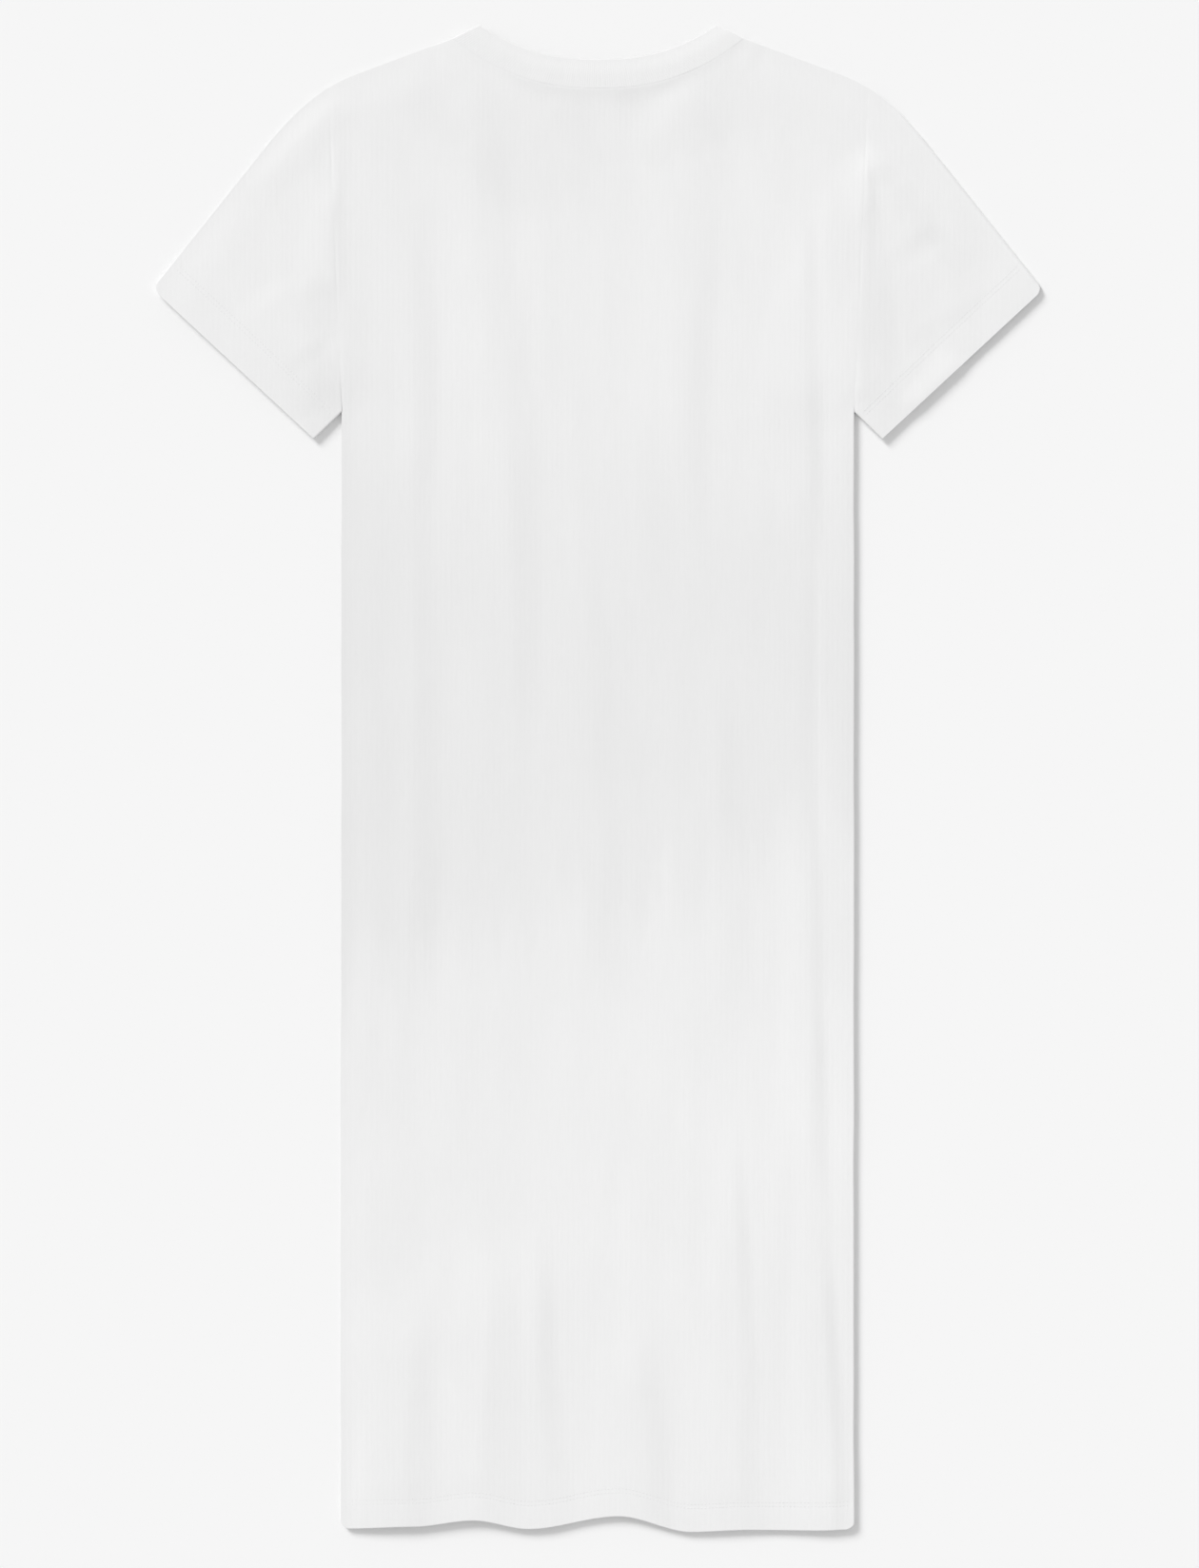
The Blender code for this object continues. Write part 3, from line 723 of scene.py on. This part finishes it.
def make_back(material):
    across, down, above = body_grid(BACK_NECK_DEPTH, 0.0, COLUMN_STEP, ROW_STEP)
    folded = folded_distance(across, down)
    middle, radius, _ = folded_edge(folded, side_round_share(across, down))
    top = mix(middle + BACK_CLEARANCE, back_surface(across, down, above), lip(folded, radius))
    wall = wall_at(HEM, above) * lip(folded, PANEL_EDGE_RADIUS)
    inner_floor = (middle + CLEARANCE) * (1.0 - ramp(folded, *FULL_WALL_FROM))
    bottom = np.minimum(np.maximum(top - wall, inner_floor), top - THINNEST)
    return panel_shell("back_panel_jersey", across, down, above, top, bottom, material)


def make_front(material):
    across, down, above = body_grid(
        FRONT_NECK_DEPTH, FRONT_SHORTER, FRONT_COLUMN_STEP, FRONT_ROW_STEP)
    folded = folded_distance(across, down)
    middle, _, bottom = folded_edge(folded, side_round_share(across, down))
    top = np.minimum(bottom + wall_at(HEM, above), middle - CLEARANCE)
    top = np.maximum(top, bottom + THINNEST)
    return panel_shell("front_panel_jersey", across, down, above, top, bottom, material)


def cuff_tip():
    return (CUFF_TIP_ACROSS, float(fold_line_down(CUFF_TIP_ACROSS)))


def sleeve_point(along, over):
    """Across and down of the laid sleeve, and the distance to its cuff."""
    armhole_down = mix(SHOULDER_DOWN, UNDERARM_DOWN, over)
    armhole_across = half_width(armhole_down)
    tip = cuff_tip()
    cuff_across, cuff_down = mix(tip[0], CUFF_UNDER[0], over), mix(tip[1], CUFF_UNDER[1], over)
    full = np.hypot(cuff_across - armhole_across, cuff_down - armhole_down)
    pull = corner_pull(over * math.dist(tip, CUFF_UNDER), CUFF_CORNER)
    along = along * (1.0 - pull / full)
    fold_across = mix(SHOULDER_HALF, tip[0], along)
    fold_down = fold_line_down(fold_across)
    straight_down = mix(float(fold_line_down(SHOULDER_HALF)), tip[1], along)
    bow = 1.0 - smooth(over)
    across = mix(armhole_across, cuff_across, along)
    down = mix(armhole_down, cuff_down, along) + bow * (fold_down - straight_down)
    return across, down, full * (1.0 - along)


def sleeve_rows(over):
    """Shares along the sleeve whose last rows follow the cuff, for one place across it."""
    full = sleeve_point(0.0 * over, over)[2]
    band = hem_rows_up_to(CUFF_BAND + CUFF_ROWS_PAST_BAND)
    evenly = np.linspace(0.0, 1.0, SLEEVE_ROWS, endpoint=False)[1:]
    plain = np.concatenate([SEAM_SHARES, evenly])
    first = plain[:, None] * (1.0 - band[0] / full)
    return np.concatenate([first, 1.0 - band[:, None] / full])


def cuff_lift(across, above_cuff):
    """The cuffs stand up a little from what they lie on, the left one more."""
    lift = np.where(across < 0, LEFT_CUFF_LIFT, RIGHT_CUFF_LIFT)
    return lift * ramp(above_cuff, CUFF_LIFT_FROM, 0.0)


def sleeve_surface(across, down, above_cuff):
    """Height of the sleeve's outer face on its upper layer."""
    run = (across - down) * CUFF_RUN_SHARE
    seams = armhole_relief(across, down, True) + sewn_relief(CUFF, run, run, above_cuff)
    cloth = upper_height(across, down, hemmed_share(CUFF, above_cuff))
    return cloth + seams + cuff_lift(across, above_cuff)


def sleeve_outer(across, down, above, over, from_fold):
    """Heights of the sleeve's outermost line, of its upper outer face and of its lower one."""
    round_share = np.maximum(ramp(over, *ROUND_UNDERARM_OVER), ramp(across, *ROUND_SLEEVE_ACROSS))
    plain_middle, radius, bottom = folded_edge(from_fold, round_share)
    sloped = ramp(across, *SLOPED_EDGE_ACROSS) * (over < 0.5)
    middle = mix(plain_middle + cuff_lift(across, above), SLOPED_EDGE_MIDDLE, sloped)
    rounded = lip(from_fold, SLOPED_EDGE_RADIUS, SLOPED_EDGE_FULLNESS)
    rounded = mix(lip(from_fold, radius), rounded, sloped)
    top = mix(middle, sleeve_surface(across, down, above), rounded)
    return middle, top, bottom * middle / plain_middle


def sleeve_inner(middle, top, bottom, wall, from_fold):
    """Heights of the sleeve's two inner faces, which part at the folded edges."""
    near_fold = 1.0 - ramp(from_fold, *FULL_WALL_FROM)
    inner_top = np.maximum(top - wall, (middle + CLEARANCE) * near_fold)
    inner_top = np.minimum(inner_top, np.maximum(top - THINNEST, middle + 0.5 * THINNEST))
    inner_bottom = np.minimum(bottom + wall, middle - CLEARANCE)
    at_fold = from_fold < SOLID_WALL
    inner_top = np.where(at_fold, middle + SLEEVE_CLEARANCE, inner_top)
    inner_bottom = np.where(at_fold, middle - SLEEVE_CLEARANCE, inner_bottom)
    return inner_top, inner_bottom


def make_sleeve(name, side, material):
    """A flattened tube: its columns run over the upper layer and back along the lower one."""
    width = math.dist(cuff_tip(), CUFF_UNDER)
    near = tuple(value * SLEEVE_LIP_STRETCH for value in LIP_PLACES)
    places = spread(0.0, width, SLEEVE_COLUMN_STEP, near)
    over = places / width
    along = sleeve_rows(over)
    across, down, above = sleeve_point(along, np.broadcast_to(over, along.shape))
    across = across * side
    from_fold = np.minimum(places, width - places)[None, :] * np.ones_like(across)
    middle, top, bottom = sleeve_outer(across, down, above, over, from_fold)
    wall = wall_at(CUFF, above) * lip(above, OPEN_EDGE_RADIUS) * SLEEVE_WALL_SHARE
    inner_top, inner_bottom = sleeve_inner(middle, top, bottom, wall, from_fold)
    inset = np.maximum(from_fold, np.minimum(wall * INSET_WALLS, INSET_HEIGHT_SHARE * middle))
    inner_over = np.where(over < 0.5, inset / width, 1.0 - inset / width)
    inner_across, inner_down, _ = sleeve_point(along, inner_over)

    def loop(upper, lower):
        return np.concatenate([upper, lower[:, -2:0:-1]], axis=1)

    inner_across, inner_down = (loop(grid, grid) for grid in (inner_across * side, inner_down))
    outer = to_points(loop(across, across), loop(down, down), loop(top, bottom))
    inner = to_points(inner_across, inner_down, loop(inner_top, inner_bottom))
    if side < 0:
        outer, inner = outer[:, ::-1], inner[:, ::-1]
    return shell(name, outer, inner, material, tube=True)


def make_band(name, band, material):
    """Half of the rib neckband: a doubled strip whose ribs run across it."""
    fine = np.linspace(-1.0, 1.0, BAND_LINE_POINTS)
    line_across = fine * 0.5 * (NECK_HALF + BAND_SEAM_HALF)
    free_down = band_inner(fine * NECK_HALF, band.depth)
    line_down = 0.5 * (free_down + band_outer(fine * BAND_SEAM_HALF, band.depth))
    steps = np.hypot(np.diff(line_across), np.diff(line_down))
    length = np.concatenate([[0.0], np.cumsum(steps)])
    count = int(length[-1] / RIB_PITCH * RIB_POINTS)
    place = np.linspace(0.0, length[-1], count + 1)
    share = np.interp(place, length, fine)
    over = np.array(RIB_ROWS)[:, None]
    across = mix(share * NECK_HALF, share * BAND_SEAM_HALF, over)
    free_down = band_inner(share * NECK_HALF, band.depth)
    down = mix(free_down, band_outer(share * BAND_SEAM_HALF, band.depth), over)
    from_free = over * BAND_WIDTH
    from_seam = (1.0 - over) * BAND_WIDTH
    from_end = np.minimum(place, length[-1] - place)[None, :] + 0.0 * over
    ribs = RIB_DEPTH * np.cos(2.0 * math.pi * place / RIB_PITCH)
    ribs = ribs * ramp(from_free, *RIB_FREE_FADE) * ramp(from_seam, *RIB_SEAM_FADE)
    body = band.full - BAND_THINNER * ramp(over, BAND_THINNER_TO, 0.0)
    body = body + BAND_SWELL * ramp(over, 0.0, BAND_SWELL_FROM)
    body = body + relief(NECKBAND_UNEVEN, place[None, :] + 0.0 * over, from_free)
    rounded = lip(from_free, BAND_FREE_RADIUS) * mix(BAND_END_LOW, 1.0, lip(from_end, BAND_END_RADIUS))
    top = band.base + body * rounded + ribs
    edge = np.minimum(from_free, from_end) if band.free_edge_lifts else from_end
    lifted = 1.0 - under_lip(edge, SHARP_EDGE.below, SHARP_EDGE.curve)
    bottom = band.base + band.undercut * lifted
    top = np.maximum(top, bottom + CLEARANCE)
    return shell(name, to_points(across, down, top), to_points(across, down, bottom), material)


def stitches(name, across, down, height, material):
    """A row of stitches: short rounded threads laid end to end along a line of points."""
    steps = np.hypot(np.hypot(np.diff(across), np.diff(down)), np.diff(height))
    run = np.concatenate([[0.0], np.cumsum(steps)])
    corners = range(STITCH_SIDES)
    points, faces = [], []
    for start in np.arange(ROW_START, run[-1] - ROW_STOP, STITCH_PITCH):
        base = len(points)
        for ring in range(STITCH_RINGS):
            share = ring / (STITCH_RINGS - 1)
            at = start + share * STITCH_LENGTH
            x, y, z = (np.interp(at, run, values) for values in (across, down, height))
            ahead = [np.interp(at + STITCH_AHEAD, run, values) for values in (across, down)]
            direction = np.array([ahead[0] - x, ahead[1] - y])
            direction = direction / max(np.hypot(*direction), 1e-9)
            bulge = math.sin(math.pi * share)
            size = STITCH_RADIUS * mix(STITCH_END_SIZE, 1.0, bulge ** 0.5)
            sink = STITCH_SINK * (1.0 - bulge)
            for corner in corners:
                angle = 2.0 * math.pi * corner / STITCH_SIDES
                aside = size * STITCH_FLATNESS * math.cos(angle)
                points.append((x - direction[1] * aside, y + direction[0] * aside,
                               z - sink + size * math.sin(angle)))
        for ring in range(STITCH_RINGS - 1):
            for corner in corners:
                first = base + ring * STITCH_SIDES + corner
                second = base + ring * STITCH_SIDES + (corner + 1) % STITCH_SIDES
                faces.append((first, second, second + STITCH_SIDES, first + STITCH_SIDES))
        faces.append(tuple(base + corner for corner in reversed(corners)))
        faces.append(tuple(base + (STITCH_RINGS - 1) * STITCH_SIDES + corner for corner in corners))
    points = np.array(points)
    return add_piece(name, to_points(points[:, 0], points[:, 1], points[:, 2]), faces, material)


def hem_stitches(name, line, material):
    across = np.linspace(-HEM_LINE_HALF, HEM_LINE_HALF, HEM_LINE_POINTS)
    side_half = half_width(np.full_like(across, LENGTH))
    down = hem_down(across, side_half) - line
    height = back_surface(across, down, np.full_like(across, line)) + STITCH_LIFT
    return stitches(name, across, down, height, material)


def cuff_stitches(name, side, line, material):
    over = np.linspace(*CUFF_LINE_ENDS, CUFF_LINE_POINTS)
    full = sleeve_point(0.0 * over, over)[2]
    across, down, _ = sleeve_point(1.0 - line / full, over)
    across = across * side
    height = sleeve_surface(across, down, np.full_like(across, line)) + STITCH_LIFT
    return stitches(name, across, down, height, material)


def new_material(name):
    """A material with its node tree and its shader."""
    material = bpy.data.materials.new(name)
    material.use_nodes = True
    return material, material.node_tree, material.node_tree.nodes["Principled BSDF"]


def math_node(tree, operation, first, second=None):
    node = tree.nodes.new("ShaderNodeMath")
    node.operation = operation
    for socket, value in zip(node.inputs, (first, second)):
        if value is None:
            continue
        if hasattr(value, "links"):
            tree.links.new(value, socket)
        else:
            socket.default_value = value
    return node.outputs[0]


def noise_node(tree, scale, detail, place=None, stretch=None):
    """Noise over the object. With a stretch it is given as cells per metre along each axis."""
    node = tree.nodes.new("ShaderNodeTexNoise")
    node.inputs["Scale"].default_value = scale
    node.inputs["Detail"].default_value = detail
    if stretch is not None:
        mapping = tree.nodes.new("ShaderNodeMapping")
        mapping.inputs["Scale"].default_value = stretch
        tree.links.new(place, mapping.inputs["Vector"])
        place = mapping.outputs[0]
    if place is not None:
        tree.links.new(place, node.inputs["Vector"])
    return node.outputs["Fac"]


def map_range(tree, value, from_range, to_range, kind="LINEAR"):
    node = tree.nodes.new("ShaderNodeMapRange")
    node.interpolation_type = kind
    for name, limit in zip(("From Min", "From Max", "To Min", "To Max"), (*from_range, *to_range)):
        node.inputs[name].default_value = limit
    tree.links.new(value, node.inputs["Value"])
    return node.outputs[0]


def grey_ramp(tree, value, low, high):
    """A colour ramp between two greys, each given with its position."""
    node = tree.nodes.new("ShaderNodeValToRGB")
    for element, (position, grey) in zip(node.color_ramp.elements, (low, high)):
        element.position = position
        element.color = (grey, grey, grey, 1.0)
    tree.links.new(value, node.inputs[0])
    return node


def painted_shade_amount(tree, across, up, shade):
    """How much painted shade one of the smaller places puts on the cloth at a point; below zero it is
    painted light.
    """
    middle_up = (0.5 * LENGTH - shade.down) * MM
    aside = math_node(tree, "SUBTRACT", across, shade.across * MM)
    aside = math_node(tree, "DIVIDE", aside, shade.half_across * MM)
    above = math_node(tree, "SUBTRACT", up, middle_up)
    above = math_node(tree, "DIVIDE", above, shade.half_down * MM)
    square = math_node(tree, "ADD", math_node(tree, "MULTIPLY", aside, aside),
                       math_node(tree, "MULTIPLY", above, above))
    return map_range(tree, square, (SHADE_MIDDLE, 1.0), (shade.deeper, 0.0), "SMOOTHSTEP")


def paint_shade_on_middle(tree, place, split, colour):
    """Painted shade: the cloth's colour is darkened across the middle of the body in place of shading,
    with streaky borders, and the smaller places of painted shade and painted light are added.
    """
    across, up = split.outputs["X"], split.outputs["Y"]
    streaks = noise_node(tree, 1.0, 3.0, place, STREAK_CELLS)
    slant = math_node(tree, "MULTIPLY", across, -DEEPER_SLANT)
    shift = math_node(tree, "MULTIPLY", streaks, DEEPER_STREAKS)
    level = math_node(tree, "ADD", up, shift)
    slanted = math_node(tree, "ADD", level, slant)
    # Painted shade across the middle of the body
    lower = map_range(tree, slanted, DEEPER_FROM, (0.0, 1.0), "SMOOTHSTEP")
    upper = map_range(tree, level, DEEPER_TO, (0.0, 1.0), "SMOOTHSTEP")
    deeper = math_node(tree, "MULTIPLY", math_node(tree, "SUBTRACT", lower, upper), DEEPER_BY)
    wavy = math_node(tree, "ADD", up, math_node(tree, "MULTIPLY", shift, SHADE_STREAKS))
    # Smaller places of painted shade and painted light
    for shade in PAINTED_SHADES_AND_LIGHT:
        deeper = math_node(tree, "ADD", deeper, painted_shade_amount(tree, across, wavy, shade))
    tone = math_node(tree, "SUBTRACT", 1.0, deeper)
    scaled = tree.nodes.new("ShaderNodeVectorMath")
    scaled.operation = "SCALE"
    tree.links.new(colour, scaled.inputs[0])
    tree.links.new(tone, scaled.inputs["Scale"])
    return scaled.outputs[0]


def knit_height(tree, split):
    """Columns of small slanted stitches."""
    column = math_node(tree, "MULTIPLY", split.outputs["X"], 1.0 / (WALE * MM))
    fraction = math_node(tree, "FRACT", column)
    from_middle = math_node(tree, "ABSOLUTE", math_node(tree, "SUBTRACT", fraction, 0.5))
    row = math_node(tree, "MULTIPLY", split.outputs["Y"], 1.0 / (COURSE * MM))
    slanted = math_node(tree, "ADD", row, math_node(tree, "MULTIPLY", from_middle, KNIT_SLANT))
    turn = math_node(tree, "COSINE", math_node(tree, "MULTIPLY", slanted, 2.0 * math.pi))
    arch = math_node(tree, "COSINE", math_node(tree, "MULTIPLY", from_middle, 2.0 * math.pi))
    return math_node(tree, "ADD", math_node(tree, "MULTIPLY", turn, 0.5), arch)


def jersey_material(name, tone, depth, paint_shade_and_light=False):
    """Plain knit: columns of small stitches, a faint unevenness of yarn, and a soft nap. For the body it
    also carries painted shade and painted light in its colour.
    """
    material, tree, shader = new_material(name)
    place = tree.nodes.new("ShaderNodeTexCoord").outputs["Object"]
    split = tree.nodes.new("ShaderNodeSeparateXYZ")
    tree.links.new(place, split.inputs[0])
    yarn = noise_node(tree, 1.0, 3.0, place, YARN_CELLS)
    broad = noise_node(tree, UNEVEN_CELLS, 2.0, place)

    blend = math_node(tree, "ADD", math_node(tree, "MULTIPLY", yarn, 0.5),
                      math_node(tree, "MULTIPLY", broad, 0.5))
    greys = grey_ramp(tree, blend, (TONE_FROM, tone - TONE_BELOW), (TONE_TO, tone + TONE_ABOVE))
    greys.color_ramp.interpolation = "EASE"
    colour = greys.outputs[0]
    # Painted shade and painted light on the body's colour
    if paint_shade_and_light:
        colour = paint_shade_on_middle(tree, place, split, colour)
    tree.links.new(colour, shader.inputs["Base Color"])
    rough = map_range(tree, yarn, (0.0, 1.0), CLOTH_ROUGHNESS)
    tree.links.new(rough, shader.inputs["Roughness"])

    knit = knit_height(tree, split)
    bump = tree.nodes.new("ShaderNodeBump")
    bump.inputs["Distance"].default_value = depth * MM
    bump.inputs["Strength"].default_value = KNIT_STRENGTH
    height = math_node(tree, "ADD", math_node(tree, "MULTIPLY", knit, 0.5), yarn)
    tree.links.new(height, bump.inputs["Height"])
    tree.links.new(bump.outputs[0], shader.inputs["Normal"])
    shader.inputs["Sheen Weight"].default_value = NAP
    shader.inputs["Sheen Roughness"].default_value = NAP_ROUGHNESS
    shader.inputs["Specular IOR Level"].default_value = CLOTH_SHINE
    return material


def thread_material():
    material, tree, shader = new_material("white_thread")
    place = tree.nodes.new("ShaderNodeTexCoord").outputs["Object"]
    twist = tree.nodes.new("ShaderNodeTexWave")
    twist.inputs["Scale"].default_value = TWIST_CELLS
    twist.inputs["Distortion"].default_value = 1.0
    tree.links.new(place, twist.inputs["Vector"])
    greys = grey_ramp(tree, twist.outputs["Fac"], (0.0, THREAD_TONES[0]), (1.0, THREAD_TONES[1]))
    tree.links.new(greys.outputs[0], shader.inputs["Base Color"])
    shader.inputs["Roughness"].default_value = THREAD_ROUGHNESS
    return material


def make_floor():
    """A pale matte floor."""
    mesh = bpy.data.meshes.new("floor")
    half = FLOOR_HALF
    corners = [(-half, -half, 0.0), (half, -half, 0.0), (half, half, 0.0), (-half, half, 0.0)]
    mesh.from_pydata(corners, [], [(0, 1, 2, 3)])
    floor = bpy.data.objects.new("floor", mesh)
    bpy.context.scene.collection.objects.link(floor)
    material, tree, shader = new_material("floor_paint")
    rough = map_range(tree, noise_node(tree, 3.0, 2.0), (0.0, 1.0), FLOOR_ROUGHNESS)
    tree.links.new(rough, shader.inputs["Roughness"])
    shader.inputs["Base Color"].default_value = (FLOOR_TONE, FLOOR_TONE, FLOOR_TONE, 1.0)
    shader.inputs["Specular IOR Level"].default_value = 0.0
    mesh.materials.append(material)


def make_light():
    """A soft sky and a low soft key light from the upper left."""
    world = bpy.data.worlds.new("soft_sky")
    bpy.context.scene.world = world
    world.use_nodes = True
    tree = world.node_tree
    sky = tree.nodes["Background"]
    sky.inputs["Color"].default_value = (1.0, 1.0, 1.0, 1.0)
    split = tree.nodes.new("ShaderNodeSeparateXYZ")
    tree.links.new(tree.nodes.new("ShaderNodeTexCoord").outputs["Generated"], split.inputs[0])
    strengths = (HORIZON_STRENGTH, SKY_STRENGTH)
    strength = map_range(tree, split.outputs["Z"], (0.0, HORIZON_TO), strengths, "SMOOTHSTEP")
    tree.links.new(strength, sky.inputs["Strength"])

    lamp = bpy.data.lights.new("key", "SUN")
    lamp.energy = KEY_STRENGTH
    lamp.angle = math.radians(KEY_SOFTNESS)
    key = bpy.data.objects.new("key", lamp)
    elevation, azimuth = math.radians(KEY_ELEVATION), math.radians(KEY_AZIMUTH)
    key.rotation_euler = (math.pi / 2.0 - elevation, 0.0, azimuth)
    bpy.context.scene.collection.objects.link(key)


def make_camera():
    camera_data = bpy.data.cameras.new("camera")
    camera_data.sensor_width = SENSOR
    camera_data.lens = SENSOR * CAMERA_HEIGHT / (PHOTO_SIZE[1] * MM_PER_PIXEL * MM)
    camera_data.clip_end = CAMERA_SEES_TO
    camera = bpy.data.objects.new("camera", camera_data)
    bpy.context.scene.collection.objects.link(camera)
    across = (0.5 * PHOTO_SIZE[0] - PHOTO_CENTRE_LINE) * MM_PER_PIXEL
    down = (0.5 * PHOTO_SIZE[1] - PHOTO_SHOULDER_TOP) * MM_PER_PIXEL
    camera.location = (across * MM, (0.5 * LENGTH - down) * MM, CAMERA_HEIGHT)
    bpy.context.scene.camera = camera


bpy.context.scene.view_settings.view_transform = "Standard"
# The body's jersey has painted shade and painted light in its colour
jersey = jersey_material("white_jersey", JERSEY_TONE, JERSEY_DEPTH, paint_shade_and_light=True)
rib = jersey_material("white_rib", RIB_TONE, RIB_KNIT_DEPTH)
thread = thread_material()
make_floor()
make_light()
make_camera()

back = make_back(jersey)
front = make_front(jersey)
sleeve_left = make_sleeve("sleeve_left_jersey", -1.0, jersey)
sleeve_right = make_sleeve("sleeve_right_jersey", 1.0, jersey)
band_back = make_band("neckband_back_rib", BACK_BAND, rib)
band_front = make_band("neckband_front_rib", FRONT_BAND, rib)
hem_rows = [hem_stitches(f"hem_stitches_{n}", line, thread) for n, line in enumerate(STITCH_LINES)]
cuff_rows = []
for side_name, side in (("left", -1.0), ("right", 1.0)):
    for n, line in enumerate(CUFF_STITCH_LINES):
        cuff_rows.append(cuff_stitches(f"cuff_stitches_{side_name}_{n}", side, line, thread))

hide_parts("back_panel")
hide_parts("front_panel")
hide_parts("sleeve_left")
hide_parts("sleeve_right")
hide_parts("neckband_back")
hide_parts("neckband_front")
for piece in (back, front, sleeve_left, sleeve_right):
    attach(piece, "root")
for piece in (band_back, band_front):
    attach(piece, "root")
for piece in hem_rows + cuff_rows:
    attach(piece, "root")
